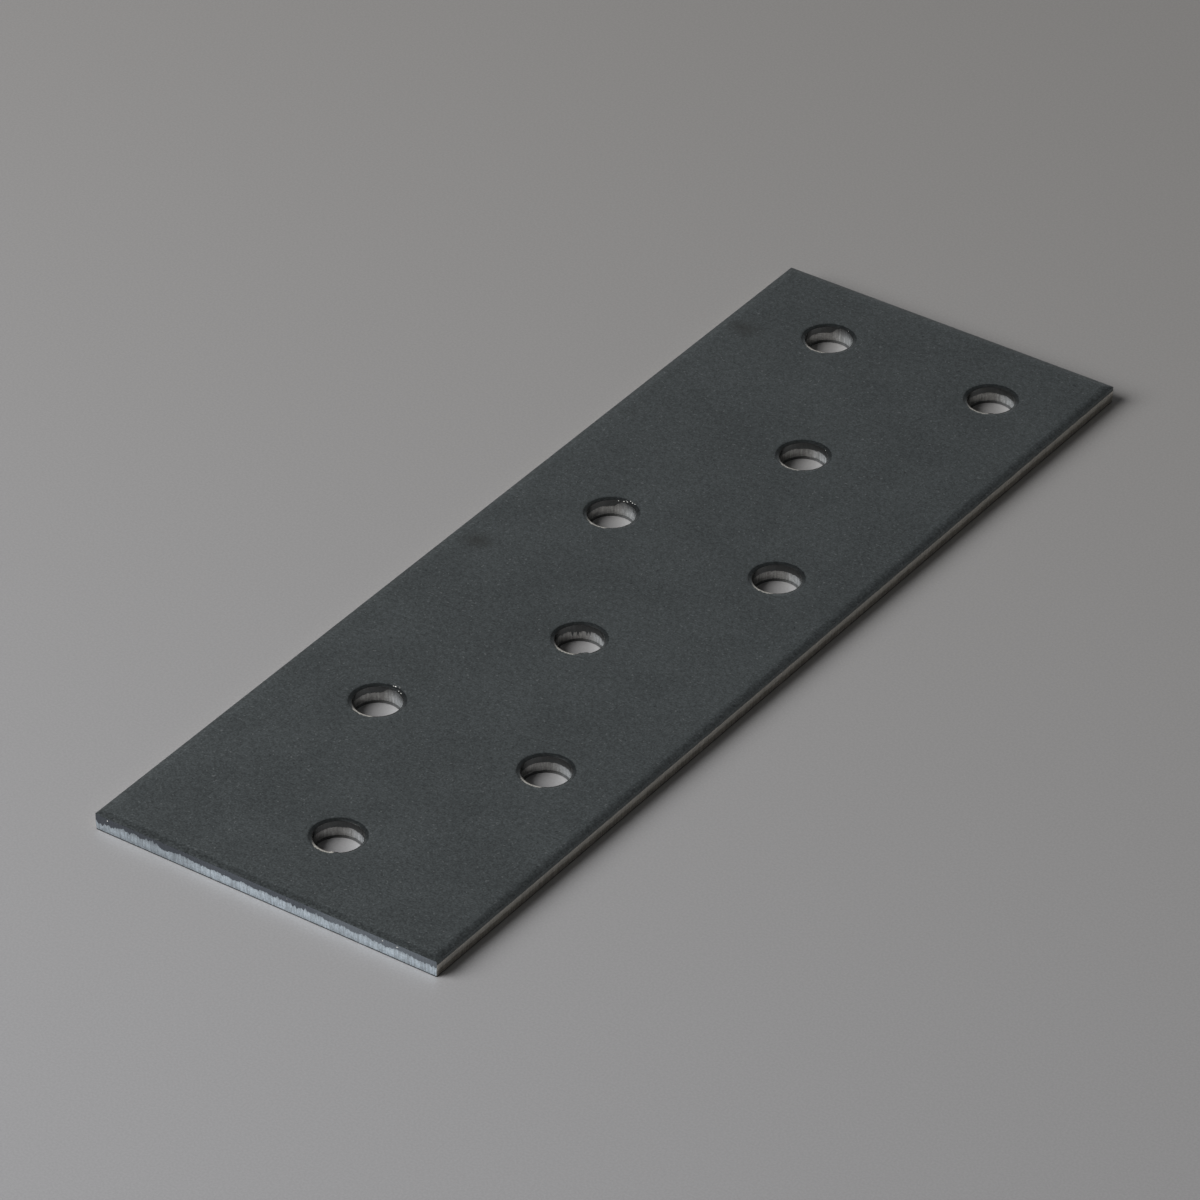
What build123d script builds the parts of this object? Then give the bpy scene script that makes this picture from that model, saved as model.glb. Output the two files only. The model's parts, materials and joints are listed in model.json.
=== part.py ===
"""Mending plate: a flat steel strip with a staggered 2-1-2-1 pattern of nail and screw holes.

The strip is slit from sheet, punched, and cropped to length, so every edge has the section
that shearing leaves. From the top face down it is a rolled-over lip, a smooth upright land,
a torn zone that leans away from the blade, and a foot that breaks away further. The punched
holes have the same section.

Frame: millimetres, +Z up, +Y along the strip, origin under the middle of the plate on the
surface that it lies on. The end at +Y has the first pair of holes.
"""

import os

from build123d import *

# Plate
plate_width = 40.0
plate_length = 120.0
thickness = 2.0
corner_break = 0.3

# Hole pattern: rows follow each other at the pitch, a pair and a single hole in turn.
# The slitter and the cropper leave its middle a little off the plate's own.
hole_diameter = 5.0
hole_pitch = 20.0
pair_spacing = 20.0
pattern_shift_x = 1.05
pattern_shift_y = 0.4

# Sheared outer edge: the lip's run over the face, how far the torn zone leans in, and the
# foot under it
lip_run = 1.2
tear_lean = 0.09
foot_run = 0.1
foot_rise = 0.2

# Punched hole: the rim's run over the face and the foot of its wall
rim_run = 0.65
hole_foot_run = 0.16
hole_foot_rise = 0.3

# Depths below the top face, as shares of the thickness
lip_drop = 0.1 * thickness
rim_drop = 0.09 * thickness
slit_land_end = 0.65 * thickness
crop_land_end = 0.42 * thickness
hole_land_end = 0.4 * thickness

row_count = int(plate_length // hole_pitch)
hole_radius = hole_diameter / 2


def sheared_outline(span, land_end):
    """Edges of a sheared strip's section, of the given width, standing on the X axis."""
    half = span / 2
    lip_start = (half - lip_run, thickness)
    lip_end = (half, thickness - lip_drop)
    with BuildLine() as outline:
        Line((0, thickness), lip_start)
        TangentArc(lip_start, lip_end, tangent=(1, 0))
        Polyline(
            lip_end,
            (half, thickness - land_end),
            (half - tear_lean, foot_rise),
            (half - tear_lean - foot_run, 0),
            (0, 0),
        )
        mirror(about=Plane.YZ)
    return outline.edges()


def hole_centres():
    """Centres of the holes, row by row from the far end."""
    centres = []
    for row in range(row_count):
        y = pattern_shift_y + ((row_count - 1) / 2 - row) * hole_pitch
        if row % 2 == 0:
            centres += [(pattern_shift_x + side * pair_spacing / 2, y) for side in (-1, 1)]
        else:
            centres.append((pattern_shift_x, y))
    return centres


# What the punch takes out: a rolled rim, the land at the punch's size, the torn flare and
# its foot
with BuildPart() as slug:
    with BuildSketch(Plane.XZ):
        with BuildLine():
            rim_start = (hole_radius + rim_run, thickness)
            rim_end = (hole_radius, thickness - rim_drop)
            Line((0, thickness), rim_start)
            TangentArc(rim_start, rim_end, tangent=(-1, 0))
            Polyline(
                rim_end,
                (hole_radius, thickness - hole_land_end),
                (hole_radius + tear_lean, hole_foot_rise),
                (hole_radius + tear_lean + hole_foot_run, 0),
                (0, 0),
                (0, thickness),
            )
        make_face()
    revolve(axis=Axis.Z)

# The slit strip's section runs the whole length, the crop's section cuts it at both ends,
# and the outline takes the points off the corners
with BuildPart() as mending_plate:
    with BuildSketch(Plane.XZ):
        make_face(sheared_outline(plate_width, slit_land_end))
    extrude(amount=plate_length / 2, both=True)
    with BuildSketch(Plane.YZ):
        make_face(sheared_outline(plate_length, crop_land_end))
    extrude(amount=plate_width / 2, both=True, mode=Mode.INTERSECT)
    with BuildSketch() as blank:
        Rectangle(plate_width, plate_length)
        chamfer(blank.vertices(), length=corner_break)
    extrude(amount=thickness, mode=Mode.INTERSECT)
    with Locations(*hole_centres()):
        add(slug.part, mode=Mode.SUBTRACT)

mending_plate.part.label = "mending_plate"

os.makedirs("parts", exist_ok=True)
export_step(mending_plate.part, "parts/mending_plate.step")
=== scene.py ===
import json
import math
import bmesh
import bpy
from mathutils import Matrix, Vector, noise


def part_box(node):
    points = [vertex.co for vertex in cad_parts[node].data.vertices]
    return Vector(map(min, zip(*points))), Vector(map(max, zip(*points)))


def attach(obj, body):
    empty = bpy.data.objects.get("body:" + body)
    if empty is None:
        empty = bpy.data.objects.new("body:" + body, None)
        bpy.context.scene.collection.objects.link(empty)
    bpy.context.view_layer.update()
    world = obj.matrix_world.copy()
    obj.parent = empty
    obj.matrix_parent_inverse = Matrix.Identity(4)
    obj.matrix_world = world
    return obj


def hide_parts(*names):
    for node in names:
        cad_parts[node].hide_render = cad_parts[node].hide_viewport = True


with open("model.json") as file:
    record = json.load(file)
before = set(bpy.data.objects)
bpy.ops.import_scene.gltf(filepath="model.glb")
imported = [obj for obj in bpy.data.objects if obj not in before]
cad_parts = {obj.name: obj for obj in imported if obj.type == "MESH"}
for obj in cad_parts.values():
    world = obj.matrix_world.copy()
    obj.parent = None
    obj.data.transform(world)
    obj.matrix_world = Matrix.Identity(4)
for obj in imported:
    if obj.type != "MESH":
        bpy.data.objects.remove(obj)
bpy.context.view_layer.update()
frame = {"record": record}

# Everything below is worked out in millimetres and made metres when a mesh is finished.
mm = 0.001
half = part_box("mending_plate")[1] / mm  # half the width, half the length and the whole thickness
thick = half.z
bores = [m for m in frame["record"]["mounts"] if m["kind"] == "bore"]
holes = [Vector((*m["pos_m"][:2], 0)) / mm for m in bores]
holeRadius = bores[0]["dims"]["r_mm"]


# Blank plate: one ring of edges after another, from the top face down the sheared walls.
# Where there are two values, the first is for the outer walls and the second for the holes.

plate = {
    "cornerBreak": 0.06,
    "endStep": 0.1,  # column spacing along the cropped ends
    "sideStep": 0.2,  # and along the slit sides
    "lipRun": 1.2,  # rolled lip of the outer edges
    "lipDrop": 0.2,
    "lipRings": 6,
    "rimRun": 0.65,  # rolled rim of the holes
    "rimDrop": 0.18,
    "rimRings": 5,
    "holeColumns": 180,
    "wallRings": 16,
    "tearLean": (0.05, 0.0),  # how far the torn zone leans back
    "footRise": (0.14, 0.2),  # height of the burr at its foot, painted dark for the contact shadow at the floor
    "footRun": (0.0, -0.15),  # how far the burr leans back
    "grain": 0.006,  # roughness of the torn zone
    "grainSize": 0.13,
    "tearOnset": (-0.02, 0.05),  # depths past the land between which it sets in
    "tearEnd": 0.03,  # and how far above the foot it dies out
    "sharpAngle": 35,
}


def rolledArc(run, drop):
    turn = 2 * math.atan(drop / run)
    return turn, run / math.sin(turn)


def wallSteps(run, drop, rings, landEnd, kind):
    steps = []  # (distance back from the smooth land, depth below the top face)
    turn, radius = rolledArc(run, drop)
    for k in range(rings + 1):
        angle = turn * k / rings
        steps.append((run - radius * math.sin(angle), radius * (1 - math.cos(angle))))
    footTop = thick - plate["footRise"][kind]
    lean = plate["tearLean"][kind]
    for k in range(1, plate["wallRings"] + 1):
        depth = drop + (footTop - drop) * k / plate["wallRings"]
        steps.append((lean * max(depth - landEnd, 0) / (footTop - landEnd), depth))
    for share in (0.5, 1):
        steps.append((lean + plate["footRun"][kind] * share, footTop + plate["footRise"][kind] * share))
    return steps


def sinkRings(bm, loop, steps, ratios):
    for (_, above), (_, below), ratio in zip(steps, steps[1:], ratios):
        made = bmesh.ops.extrude_edge_only(bm, edges=loop)["geom"]
        verts = [g for g in made if isinstance(g, bmesh.types.BMVert)]
        ring = set(verts)
        bmesh.ops.scale(bm, vec=(*ratio, 1), verts=verts)
        bmesh.ops.translate(bm, vec=(0, 0, above - below), verts=verts)
        loop = [g for g in made if isinstance(g, bmesh.types.BMEdge) and ring.issuperset(g.verts)]


def holeWalls(bm):
    steps = wallSteps(plate["rimRun"], plate["rimDrop"], plate["rimRings"], punch["land"], 1)
    bmesh.ops.create_circle(bm, segments=plate["holeColumns"], radius=holeRadius + steps[0][0],
                            matrix=Matrix.Translation((0, 0, thick)))
    ratios = [[(holeRadius + b[0]) / (holeRadius + a[0])] * 2 for a, b in zip(steps, steps[1:])]
    sinkRings(bm, bm.edges[:], steps, ratios)
    first = bm.verts[:] + bm.edges[:] + bm.faces[:]
    for centre in holes[1:]:
        made = bmesh.ops.duplicate(bm, geom=first)["geom"]
        bmesh.ops.translate(bm, vec=centre, verts=[g for g in made if isinstance(g, bmesh.types.BMVert)])
    bmesh.ops.translate(bm, vec=holes[0], verts=[g for g in first if isinstance(g, bmesh.types.BMVert)])


def outerWall(bm):
    steps = wallSteps(plate["lipRun"], plate["lipDrop"], plate["lipRings"], slit["land"], 0)
    blank = bmesh.ops.create_grid(bm, x_segments=1, y_segments=1, size=1)["verts"]
    start = half.xy - Vector((steps[0][0], steps[0][0]))
    bmesh.ops.scale(bm, vec=(*start, 1), verts=blank)
    bmesh.ops.translate(bm, vec=(0, 0, thick), verts=blank)
    corners = bmesh.ops.bevel(bm, geom=blank, offset=plate["cornerBreak"], offset_type="OFFSET", segments=1,
                              profile=0.5, affect="VERTICES", material=-1)["verts"]
    bmesh.ops.delete(bm, geom=corners[0].link_faces[:], context="FACES_ONLY")
    for edge in [e for e in bm.edges if e.is_wire]:
        run = edge.verts[0].co - edge.verts[1].co
        step = plate["endStep"] if abs(run.x) > abs(run.y) else plate["sideStep"]
        bmesh.ops.subdivide_edges(bm, edges=[edge], cuts=max(int(run.length / step), 1))
    ratios = [[(h - b[0]) / (h - a[0]) for h in half.xy] for a, b in zip(steps, steps[1:])]
    sinkRings(bm, [e for e in bm.edges if e.is_wire], steps, ratios)


# How each cut looks. Going down a wall, the dragged zinc ends at the coat's depth and the smooth
# land at the land's depth; the steel below is torn. The two tones are the land's and the torn
# zone's. A ripple is how far a border wanders, the size of its waves and where they start.

slit = {  # the long sides
    "coat": 0.62,
    "coatRipples": ((0.03, 1.2, 3),),
    "land": 1.18,
    "landRipples": ((0.04, 2.5, 7), (0.03, 0.5, 9)),
    "tones": ((0.84, 0.81, 0.74), (0.84, 0.79, 0.70)),
    "shine": 0.9,
    "burnish": 0.3,  # on the right side
}

crop = {  # the two ends; the near one is marked most at its left
    "coat": 0.2,
    "land": 0.84,
    "leftLand": 0.7,
    "landRipples": ((0.3, 1.3, 11), (0.3, 0.25, 2)),
    "leftRipples": ((0.1, 1.3, 11),),
    "leftEnds": (-11, -5),  # x between which the left's marks fade out
    "scallops": ((-18.7, 1.7, 1.05), (-15.9, 0.75, 0.9), (-11.2, 1.9, 0.95)),  # x, half width, depth
    "scallopPower": 4,  # how square a scallop is
    "tones": ((0.135, 0.15, 0.172), (0.67, 0.755, 0.82)),
    "leftShade": 0.75,  # both tones are darker there
    "rightFade": 0.15,  # how far the land's tone turns to the torn one at the right
    "rightEnds": (4, 9),
    "shine": 0.9,
    "burnish": 0.42,  # on the near end
    "footRipples": ((0.03, 0.4, 1),),
}

punch = {  # the holes; angles are in degrees around them
    "coat": 0.14,
    "land": 0.86,
    "landRipples": ((0.12, 1.3, 4), (0.08, 0.3, 8)),
    # painted shade: the land's dark tone stands for the dark that its smooth steel mirrors
    "tones": ((0.12, 0.124, 0.124), (0.56, 0.555, 0.535)),
    "paintedLitTone": (0.76, 0.80, 0.82),  # painted light: torn zone made lighter where it faces left, toward the lamp
    "paintedLitEnds": (-60, 60, 120),  # begins, begins to fade, is gone
    "shine": 0.9,
    "paintedGleam": (222, 258, 290, 304),  # painted highlight on the near-left rim: begins, is full, begins to fade, is gone
    "paintedGleamCoat": 0.04,
    "paintedGleamTone": (0.90, 0.87, 0.80),
    "paintedGleamShine": 0.3,
    "galled": (0, 20, 96, 120),  # where the steel tore early, in the holes of the left column
    "galledLand": 0.27,
    "scoredHole": 6,
    "scoreDepth": 1.1,
    "scoreFrom": 0.05,
    "scoreRipples": ((1, 0.2, 5),),
    "footDrop": 0.04,
    "footRipples": ((0.03, 0.5, 6),),
    "bulges": ((6, 314, 16, 0.24), (9, 297, 12, 0.13), (2, 300, 10, 0.1)),  # hole, angle, half width, run
    "bulgeDepths": (0.02, 0.16, 0.3, 0.7),  # begins, is full, begins to fade, is gone
}

depthNames = ("coatEnd", "landEnd", "shine", "burnish", "footStart")
toneNames = ("landTone", "tornTone")


def smoothRise(start, end, value):
    t = min(max((value - start) / (end - start), 0), 1)
    return t * t * (3 - 2 * t)


def window(ends, value):
    return smoothRise(ends[0], ends[1], value) * (1 - smoothRise(ends[2], ends[3], value))


def wander(place, ripples):
    return sum(reach * noise.noise((place + Vector((start, 0, 0))) / size) for reach, size, start in ripples)


def slitCut(place):
    coat = slit["coat"] + wander(place, slit["coatRipples"])
    land = slit["land"] + wander(place, slit["landRipples"])
    burnish = slit["burnish"] if place.x > 0 else 0
    return coat, land, slit["shine"], burnish, thick - plate["footRise"][0], *slit["tones"]


def cropCut(place):
    near = place.y < 0
    left = 1 - smoothRise(*crop["leftEnds"], place.x) if near else 0
    land = crop["land"] + (crop["leftLand"] - crop["land"]) * left
    for x, width, depth in crop["scallops"] if near else ():
        land = max(land, depth * (1 - ((place.x - x) / width) ** crop["scallopPower"]))
    land += wander(place, crop["landRipples"]) + wander(place, crop["leftRipples"]) * left
    land = max(land, crop["coat"])
    burnish = crop["burnish"] if near else 0
    foot = thick - plate["footRise"][0] + wander(place, crop["footRipples"])
    shade = 1 - (1 - crop["leftShade"]) * left
    fade = crop["rightFade"] * smoothRise(*crop["rightEnds"], place.x)
    smooth, torn = (Vector(t) for t in crop["tones"])
    smooth = (smooth * shade).lerp(torn, fade)
    return crop["coat"], land, crop["shine"], burnish, foot, smooth, torn * shade


def holeCut(place, centre):
    around = (place - centre).normalized()
    angle = math.degrees(math.atan2(around.y, around.x)) % 360
    spot = centre + around * holeRadius
    land = punch["land"] + wander(spot, punch["landRipples"])
    if centre.x < -holeRadius:
        land += (punch["galledLand"] - punch["land"]) * window(punch["galled"], angle)
    if holes.index(centre) + 1 == punch["scoredHole"]:
        land += punch["scoreDepth"] * max(wander(spot, punch["scoreRipples"]) - punch["scoreFrom"], 0)
    foot = thick - plate["footRise"][1] - punch["footDrop"] + wander(spot, punch["footRipples"])
    # painted highlight: a bright, bare, less metallic patch on each hole's near-left rim
    paintedGleam = window(punch["paintedGleam"], angle)
    smooth, torn = (Vector(t) for t in punch["tones"])
    smooth = smooth.lerp(Vector(punch["paintedGleamTone"]), paintedGleam)
    # painted light: the torn zone is lighter where it faces left, toward the lamp
    start, fadeFrom, fadeTo = punch["paintedLitEnds"]
    bright = 1 - smoothRise(fadeFrom, fadeTo, (angle - start) % 360 + start)
    torn = torn.lerp(Vector(punch["paintedLitTone"]), bright)
    coat = min(punch["coat"] + (punch["paintedGleamCoat"] - punch["coat"]) * paintedGleam, land)
    shine = punch["shine"] + (punch["paintedGleamShine"] - punch["shine"]) * paintedGleam
    return coat, land, shine, 1, foot, smooth, torn


def bulge(offset, number, depth):
    angle = math.degrees(math.atan2(offset.y, offset.x)) % 360
    run = 0
    for hole, middle, width, reach in punch["bulges"]:
        if hole == number:
            run += reach * (1 - smoothRise(width / 2, width, abs(angle - middle)))
    return run * window(punch["bulgeDepths"], depth)


def outward(place):
    centre = min(holes, key=lambda h: (place.xy - h.xy).length)
    if (place.xy - centre.xy).length < 2 * holeRadius:
        return centre, (centre - place).to_2d().normalized()
    gap = half - Vector((abs(place.x), abs(place.y), 0))
    if gap.x < gap.y:
        return None, Vector((math.copysign(1, place.x), 0))
    return None, Vector((0, math.copysign(1, place.y)))


def roughenWalls(bm):
    depths = [bm.verts.layers.float[n] for n in depthNames]
    tones = [bm.verts.layers.float_color[n] for n in toneNames]
    for v in bm.verts:
        flat = Vector((v.co.x, v.co.y, 0))
        centre, out = outward(v.co)
        if centre is not None:
            values = holeCut(flat, centre)
        elif out.x:
            values = slitCut(flat)
        else:
            values = cropCut(flat)
        for layer, value in zip(depths, values):
            v[layer] = value
        for layer, value in zip(tones, values[len(depths):]):
            v[layer] = (*value, 1)
        depth = thick - v.co.z
        land, foot = values[1], values[4]
        torn = smoothRise(*plate["tearOnset"], depth - land)
        torn *= 1 - smoothRise(foot - plate["tearEnd"], foot, depth)
        back = plate["grain"] * max(1 + 2 * noise.noise(v.co / plate["grainSize"]), 0) * torn
        if centre is not None:
            back -= bulge(flat - centre, holes.index(centre) + 1, depth)
        v.co.x -= out.x * back
        v.co.y -= out.y * back


def plateMesh():
    bm = bmesh.new()
    for name in depthNames:
        bm.verts.layers.float.new(name)
    for name in toneNames:
        bm.verts.layers.float_color.new(name)
    holeWalls(bm)
    outerWall(bm)
    for face in bm.faces:
        face.smooth = True
        face.material_index = 1
    roughenWalls(bm)
    rims = [e for e in bm.edges if e.is_boundary]
    for side in (1, -1):
        rim = [e for e in rims if side * (e.verts[0].co.z - thick / 2) > 0]
        bmesh.ops.triangle_fill(bm, edges=rim, use_beauty=False, use_dissolve=False, normal=(0, 0, side))
    bmesh.ops.recalc_face_normals(bm, faces=bm.faces)
    bm.transform(Matrix.Scale(mm, 4))
    mesh = bpy.data.meshes.new("zinc_plate")
    bm.to_mesh(mesh)
    bm.free()
    mesh.set_sharp_from_angle(angle=math.radians(plate["sharpAngle"]))
    return mesh


# Materials. Scales are waves in a millimetre, and tones multiply a colour where its cloud is
# thin and where it is thick.

cloudEnds = (0.3, 0.7)  # a cloud's values lie between these, but for a few

zinc = {
    "colour": (0.214, 0.24, 0.247, 1),
    "metallic": 0.8,
    "roughness": (0.35, 0.46),
    "rolledMetallic": 0.95,  # the coat is burnished where it was bent over
    "rolledRoughness": 0.22,
    "grainScale": 5.0,
    "grainTones": (0.72, 1.26),
    "mottleScale": 2.1,
    "mottleTones": (0.88, 1.12),
    "patchScale": 0.16,
    "patchTones": (0.94, 1.06),
    "speckScale": 3.1,
    "speckEnds": (0.68, 0.76),
    "speckColour": (0.40, 0.43, 0.44, 1),
    "pitScale": 2.3,
    "pitEnds": (0.27, 0.2),
    "pitTone": 0.6,
    "smudges": (  # x, y, reach, strength
        (-17.4, 46.8, 3.4, 0.55), (-17.0, -1.5, 3.4, 0.66), (-17.7, 26.6, 2.6, 0.2)),
    "smudgeColour": (0.072, 0.064, 0.054, 1),
    "smudgeHeart": 0.4,  # distance at which they begin to fade
    "smudgeStretch": 0.75,  # they are longer across the plate
    "smudgeWander": 2,  # times the patches' pattern, added to that distance
    "bumpStrength": 0.25,
    "bumpDistance": 0.02,
}

steel = {  # the cut steel under the coat
    "lipShade": 0.74,  # painted shade: the coat is darker where it is bent over
    "lipShadeDepth": 0.14,
    "burnishDepth": 0.05,
    "frayScale": 6,
    "fray": 0.12,  # how far the borders fray
    "coatBorder": (-0.02, 0.02),
    "landBorder": (-0.02, 0.03),
    "footBorder": (-0.05, 0.07),
    "streakScale": 5.5,
    "streakSquash": 0.12,  # the streaks run down the wall
    "landStreaks": (0.9, 1.1),
    "tornStreaks": (0.72, 1.18),
    "tornGrain": (0.85, 1.1),
    "tornTopEnds": (0.2, 1.2),  # depths between which its dark top fades out
    "tornTopShade": 0.5,
    "tornFootHeight": 0.7,  # over which it darkens again toward the floor, painted shade
    "tornFootShade": 0.72,
    "landRoughness": 0.22,
    "tornRoughness": 0.12,
    # painted shade: the foot of each wall is darkened for the contact shadow at the floor, and made less
    # metallic and rougher
    "footShade": 0.12,
    "footMetallic": 0.3,
    "footRoughness": 0.6,
    "grainRelief": 0.12,
    "bumpStrength": 0.5,
    "bumpDistance": 0.05,
}


def addNode(tree, kind, inputs, **settings):
    made = tree.nodes.new("ShaderNode" + kind)
    for name, value in settings.items():
        setattr(made, name, value)
    for name, value in inputs.items():
        if isinstance(value, bpy.types.NodeSocket):
            tree.links.new(value, made.inputs[name])
        else:
            made.inputs[name].default_value = value
    return made


def sums(tree, operation, a, b=0.0):
    return addNode(tree, "Math", {0: a, 1: b}, operation=operation).outputs[0]


def rise(tree, value, start, end, low=0.0, high=1.0):
    made = addNode(tree, "MapRange", {"Value": value, "From Min": start, "From Max": end,
                                      "To Min": low, "To Max": high}, interpolation_type="SMOOTHSTEP")
    return made.outputs[0]


def blendColour(tree, factor, a, b):
    made = addNode(tree, "Mix", {0: factor, 6: a, 7: b}, data_type="RGBA")
    return made.outputs[2]


def darken(tree, colour, factor):
    grey = addNode(tree, "CombineColor", {0: factor, 1: factor, 2: factor}).outputs[0]
    made = addNode(tree, "Mix", {0: 1.0, 6: colour, 7: grey}, data_type="RGBA", blend_type="MULTIPLY")
    return made.outputs[2]


def cloud(tree, vector, scale, detail=2.0, roughness=0.5):
    return addNode(tree, "TexNoise", {"Vector": vector, "Scale": scale, "Detail": detail,
                                      "Roughness": roughness}).outputs[0]


def mottle(tree, colour, pattern, tones):
    return darken(tree, colour, rise(tree, pattern, *cloudEnds, *tones))


def past(tree, depth, border, ends):
    return rise(tree, sums(tree, "SUBTRACT", depth, border), *ends)


def addBump(tree, shader, height, look):
    bump = addNode(tree, "Bump", {"Height": height, "Strength": look["bumpStrength"],
                                  "Distance": look["bumpDistance"] * mm})
    tree.links.new(bump.outputs[0], shader.inputs["Normal"])


def zincCoat(tree, place):
    grain = cloud(tree, place, zinc["grainScale"], 3, 0.6)
    patches = cloud(tree, place, zinc["patchScale"], 3)
    colour = mottle(tree, zinc["colour"], grain, zinc["grainTones"])
    colour = mottle(tree, colour, cloud(tree, place, zinc["mottleScale"]), zinc["mottleTones"])
    colour = mottle(tree, colour, patches, zinc["patchTones"])
    specks = rise(tree, cloud(tree, place, zinc["speckScale"], 1), *zinc["speckEnds"])
    colour = blendColour(tree, specks, colour, zinc["speckColour"])
    pits = rise(tree, cloud(tree, place, zinc["pitScale"], 1), *zinc["pitEnds"])
    colour = darken(tree, colour, rise(tree, pits, 0, 1, 1, zinc["pitTone"]))
    wavy = sums(tree, "MULTIPLY", patches, zinc["smudgeWander"])
    stretch = zinc["smudgeStretch"]
    for x, y, size, strength in zinc["smudges"]:
        spot = addNode(tree, "Mapping", {"Vector": place, "Location": (-x * stretch, -y, -thick),
                                         "Scale": (stretch, 1, 1)}).outputs[0]
        reach = addNode(tree, "VectorMath", {0: spot}, operation="LENGTH").outputs["Value"]
        reach = sums(tree, "ADD", reach, wavy)
        smudge = rise(tree, reach, zinc["smudgeHeart"], size, strength, 0)
        colour = blendColour(tree, smudge, colour, zinc["smudgeColour"])
    return colour, rise(tree, grain, *cloudEnds, *zinc["roughness"]), grain


def newMaterial(name):
    material = bpy.data.materials.new(name)
    material.use_nodes = True
    tree = material.node_tree
    shader = tree.nodes["Principled BSDF"]
    place = tree.nodes.new("ShaderNodeTexCoord").outputs["Object"]
    place = addNode(tree, "Mapping", {"Vector": place, "Scale": (1 / mm,) * 3}).outputs[0]
    return material, tree, shader, place


def zincFace():
    material, tree, shader, place = newMaterial("zincFace")
    colour, roughness, grain = zincCoat(tree, place)
    shader.inputs["Metallic"].default_value = zinc["metallic"]
    tree.links.new(colour, shader.inputs["Base Color"])
    tree.links.new(roughness, shader.inputs["Roughness"])
    addBump(tree, shader, grain, zinc)
    return material


def cutEdge():
    material, tree, shader, place = newMaterial("cutEdge")
    values = {}
    for name in depthNames:
        values[name] = addNode(tree, "Attribute", {}, attribute_name=name).outputs["Fac"]
    for name in toneNames:
        values[name] = addNode(tree, "Attribute", {}, attribute_name=name).outputs["Color"]
    height = addNode(tree, "SeparateXYZ", {0: place}).outputs["Z"]
    depth = sums(tree, "SUBTRACT", thick, height)
    fray = sums(tree, "SUBTRACT", cloud(tree, place, steel["frayScale"]), 0.5)
    frayed = sums(tree, "ADD", depth, sums(tree, "MULTIPLY", fray, steel["fray"]))
    bare = past(tree, frayed, values["coatEnd"], steel["coatBorder"])
    torn = past(tree, frayed, values["landEnd"], steel["landBorder"])
    foot = past(tree, frayed, values["footStart"], steel["footBorder"])
    rolled = sums(tree, "MULTIPLY", rise(tree, depth, 0, steel["burnishDepth"]), values["burnish"])

    upright = addNode(tree, "Mapping", {"Vector": place, "Scale": (1, 1, steel["streakSquash"])}).outputs[0]
    streaks = cloud(tree, upright, steel["streakScale"], 2, 0.6)
    coat, coatRoughness, grain = zincCoat(tree, place)
    # painted shade on the rolled lips and rims
    coat = darken(tree, coat, rise(tree, depth, 0, steel["lipShadeDepth"], 1, steel["lipShade"]))
    land = mottle(tree, values["landTone"], streaks, steel["landStreaks"])
    rough = mottle(tree, values["tornTone"], streaks, steel["tornStreaks"])
    rough = mottle(tree, rough, grain, steel["tornGrain"])
    rough = darken(tree, rough, rise(tree, depth, *steel["tornTopEnds"], steel["tornTopShade"], 1))
    # painted shade toward the floor at the bottom of the torn zone
    footHeight = steel["tornFootHeight"]
    rough = darken(tree, rough, rise(tree, depth, thick - footHeight, thick, 1, steel["tornFootShade"]))
    colour = blendColour(tree, torn, blendColour(tree, bare, coat, land), rough)
    # painted shade: the contact shadow at the foot of each wall
    colour = darken(tree, colour, rise(tree, foot, 0, 1, 1, steel["footShade"]))
    tree.links.new(colour, shader.inputs["Base Color"])

    coatShine = rise(tree, rolled, 0, 1, zinc["metallic"], zinc["rolledMetallic"])
    metallic = rise(tree, bare, 0, 1, coatShine, values["shine"])
    tree.links.new(rise(tree, foot, 0, 1, metallic, steel["footMetallic"]), shader.inputs["Metallic"])

    coatRoughness = rise(tree, rolled, 0, 1, coatRoughness, zinc["rolledRoughness"])
    cutRoughness = rise(tree, torn, 0, 1, steel["landRoughness"], steel["tornRoughness"])
    roughness = rise(tree, bare, 0, 1, coatRoughness, cutRoughness)
    tree.links.new(rise(tree, foot, 0, 1, roughness, steel["footRoughness"]), shader.inputs["Roughness"])

    relief = sums(tree, "MULTIPLY", grain, steel["grainRelief"])
    relief = sums(tree, "ADD", sums(tree, "MULTIPLY", streaks, torn), relief)
    addBump(tree, shader, relief, steel)
    return material


def addPlate():
    mesh = plateMesh()
    mesh.materials.append(zincFace())
    mesh.materials.append(cutEdge())
    piece = bpy.data.objects.new("zinc_plate", mesh)
    bpy.context.collection.objects.link(piece)
    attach(piece, "root")
    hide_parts("mending_plate")
    print("plate", len(mesh.polygons), "faces")


addPlate()


# Bright flecks on the rims of some holes and along the near end

flecks = {
    "rims": (  # hole, degrees around it, distance from its centre, length
        (4, 108, 2.50, 0.16), (4, 95, 2.56, 0.18), (4, 87, 2.64, 0.20), (4, 82, 2.86, 0.16),
        (4, 75, 2.80, 0.20), (4, 68, 2.84, 0.14), (4, 91, 2.72, 0.09),
        (7, 88, 2.88, 0.27), (7, 93, 2.84, 0.14), (7, 74, 2.62, 0.15), (7, 65, 2.60, 0.18),
        (7, 80, 3.02, 0.12), (1, 72, 2.62, 0.08), (3, 62, 2.56, 0.08)),
    "edge": ((-18.5, 0.22), (2.7, 0.18), (13.8, 0.20), (15.5, 0.24)),  # x along the near end, length
    "edgeInset": 0.03,
    "edgeDepth": 0.45,
    "width": 0.5,  # of the length
    "height": 0.45,
    "proud": 0.25,  # share of the height that may stand over the top face
    "crumple": 0.3,
    "crumpleScale": 3,
    "colour": (0.86, 0.85, 0.81, 1),
    "patchScale": 9,
    "patchTones": (0.8, 1.1),
    "metallic": 0.3,
    "roughness": 0.35,
}


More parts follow.
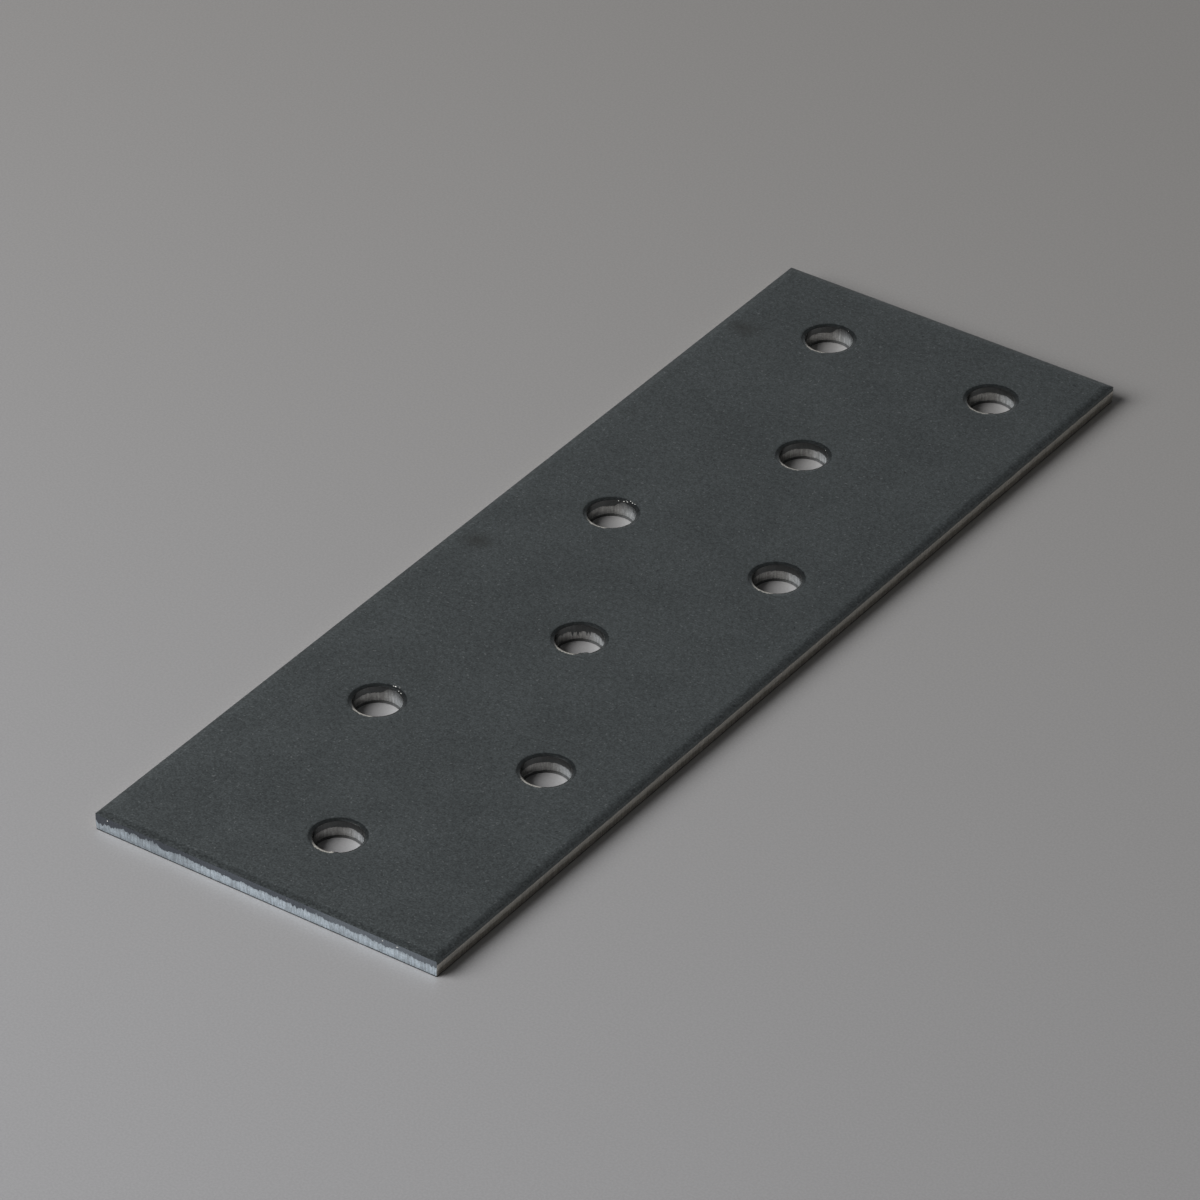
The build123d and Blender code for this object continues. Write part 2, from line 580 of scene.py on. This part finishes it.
def addFleck(bm, place, turn, length):
    made = bmesh.ops.create_icosphere(bm, subdivisions=2, radius=0.5)["verts"]
    for v in made:
        v.co *= 1 + flecks["crumple"] * noise.noise(v.co * flecks["crumpleScale"] + place)
    shape = Matrix.Diagonal((length, length * flecks["width"], length * flecks["height"], 1))
    shape = Matrix.Translation(place) @ Matrix.Rotation(turn, 4, "Z") @ shape
    bmesh.ops.transform(bm, matrix=shape, verts=made)


def rolledDepth(run, drop, reach):
    radius = rolledArc(run, drop)[1]
    along = min(max(run - reach, 0), run)
    return radius - math.sqrt(radius ** 2 - along ** 2)


def fleckMaterial():
    material, tree, shader, place = newMaterial("brightFleck")
    patches = cloud(tree, place, flecks["patchScale"])
    colour = mottle(tree, flecks["colour"], patches, flecks["patchTones"])
    tree.links.new(colour, shader.inputs["Base Color"])
    shader.inputs["Metallic"].default_value = flecks["metallic"]
    shader.inputs["Roughness"].default_value = flecks["roughness"]
    return material


def addFlecks():
    bm = bmesh.new()
    for number, degrees, reach, length in flecks["rims"]:
        angle = math.radians(degrees)
        out = Vector((math.cos(angle), math.sin(angle), 0))
        sunk = (0.5 - flecks["proud"]) * flecks["height"] * length
        depth = max(rolledDepth(plate["rimRun"], plate["rimDrop"], reach - holeRadius), sunk)
        place = holes[number - 1] + out * reach + Vector((0, 0, thick - depth))
        addFleck(bm, place, angle + math.pi / 2, length)
    for x, length in flecks["edge"]:
        addFleck(bm, Vector((x, flecks["edgeInset"] - half.y, thick - flecks["edgeDepth"])), 0, length)
    for face in bm.faces:
        face.smooth = True
    bm.transform(Matrix.Scale(mm, 4))
    mesh = bpy.data.meshes.new("zinc_flecks")
    bm.to_mesh(mesh)
    bm.free()
    mesh.materials.append(fleckMaterial())
    piece = bpy.data.objects.new("zinc_flecks", mesh)
    bpy.context.collection.objects.link(piece)
    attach(piece, "root")
    print("flecks", len(mesh.polygons), "faces")


addFlecks()


# Floor, lights and camera

stage = {
    "floorSize": 3.0,  # metres
    "floorGap": 0.01,  # mm, so that the floor and the underside don't share a plane
    # painted light: the floor goes from cool and lighter at the front to warm and darker at the back, for
    # the light's colour and fall-off
    "floorPaintedCoolLight": (0.418, 0.416, 0.426, 1),
    "floorPaintedWarmShade": (0.392, 0.380, 0.370, 1),
    "tintReach": 1.2,  # plate lengths over which the one turns into the other, either way
    "floorScale": 4.5,
    "floorTones": (0.955, 1.045),
    "floorRoughness": 0.55,
    "keyDirection": (-0.82, -0.98, 1.0),
    "keyDistance": 0.75,
    "keySize": 0.6,
    "keyPower": 6.3,
    "horizon": (0.30, 0.30, 0.30, 1),
    "zenith": (0.05, 0.05, 0.05, 1),
    "horizonTop": 0.6,  # sine of the height where the glow over the horizon ends
}

view = {
    "aim": Vector((-1.887, -1.829, 1.0)) * mm,
    "distance": 731.73 * mm,
    "elevation": 34.662,
    "azimuth": 34.294,  # degrees to the right of the plate's long axis
    "roll": 0.687,
    "lens": 221.09,
    "clipStart": 0.05,  # metres
}


def addFloor():
    bm = bmesh.new()
    bmesh.ops.create_grid(bm, x_segments=1, y_segments=1, size=stage["floorSize"] / 2,
                          matrix=Matrix.Translation((0, 0, -stage["floorGap"] * mm)))
    mesh = bpy.data.meshes.new("floor")
    bm.to_mesh(mesh)
    bm.free()
    material, tree, shader, place = newMaterial("paleFloor")
    back = addNode(tree, "SeparateXYZ", {0: place}).outputs["Y"]
    reach = stage["tintReach"] * 2 * half.y
    # painted light: cool in front, warm and darker behind
    colour = blendColour(tree, rise(tree, back, -reach, reach), stage["floorPaintedCoolLight"], stage["floorPaintedWarmShade"])
    colour = mottle(tree, colour, cloud(tree, place, stage["floorScale"]), stage["floorTones"])
    tree.links.new(colour, shader.inputs["Base Color"])
    shader.inputs["Roughness"].default_value = stage["floorRoughness"]
    mesh.materials.append(material)
    floor = bpy.data.objects.new("floor", mesh)
    bpy.context.collection.objects.link(floor)
    print("floor")


def addLights():
    lamp = bpy.data.lights.new("key", "AREA")
    lamp.shape = "DISK"
    lamp.size = stage["keySize"]
    lamp.energy = stage["keyPower"]
    key = bpy.data.objects.new("key", lamp)
    bpy.context.collection.objects.link(key)
    aim = Vector(stage["keyDirection"]).normalized()
    key.location = aim * stage["keyDistance"]
    key.rotation_euler = aim.to_track_quat("Z", "Y").to_euler()
    world = bpy.data.worlds.new("studio")
    world.use_nodes = True
    tree = world.node_tree
    direction = tree.nodes.new("ShaderNodeTexCoord").outputs["Generated"]
    height = addNode(tree, "SeparateXYZ", {0: direction}).outputs["Z"]
    sky = blendColour(tree, rise(tree, height, 0, stage["horizonTop"]), stage["horizon"], stage["zenith"])
    tree.links.new(sky, tree.nodes["Background"].inputs[0])
    bpy.context.scene.world = world
    print("lights")


def addCamera():
    camera = bpy.data.objects.new("camera", bpy.data.cameras.new("camera"))
    bpy.context.collection.objects.link(camera)
    camera.data.lens = view["lens"]
    camera.data.clip_start = view["clipStart"]
    back = Matrix.Rotation(math.radians(view["azimuth"]), 4, "Z")
    back @= Matrix.Rotation(math.radians(90 - view["elevation"]), 4, "X")
    back @= Matrix.Rotation(math.radians(view["roll"]), 4, "Z")
    turned = Matrix.Translation(view["aim"]) @ back
    camera.matrix_world = turned @ Matrix.Translation((0, 0, view["distance"]))
    bpy.context.scene.camera = camera
    print("camera")


addFloor()
addLights()
addCamera()
bpy.context.scene.view_settings.view_transform = "Standard"
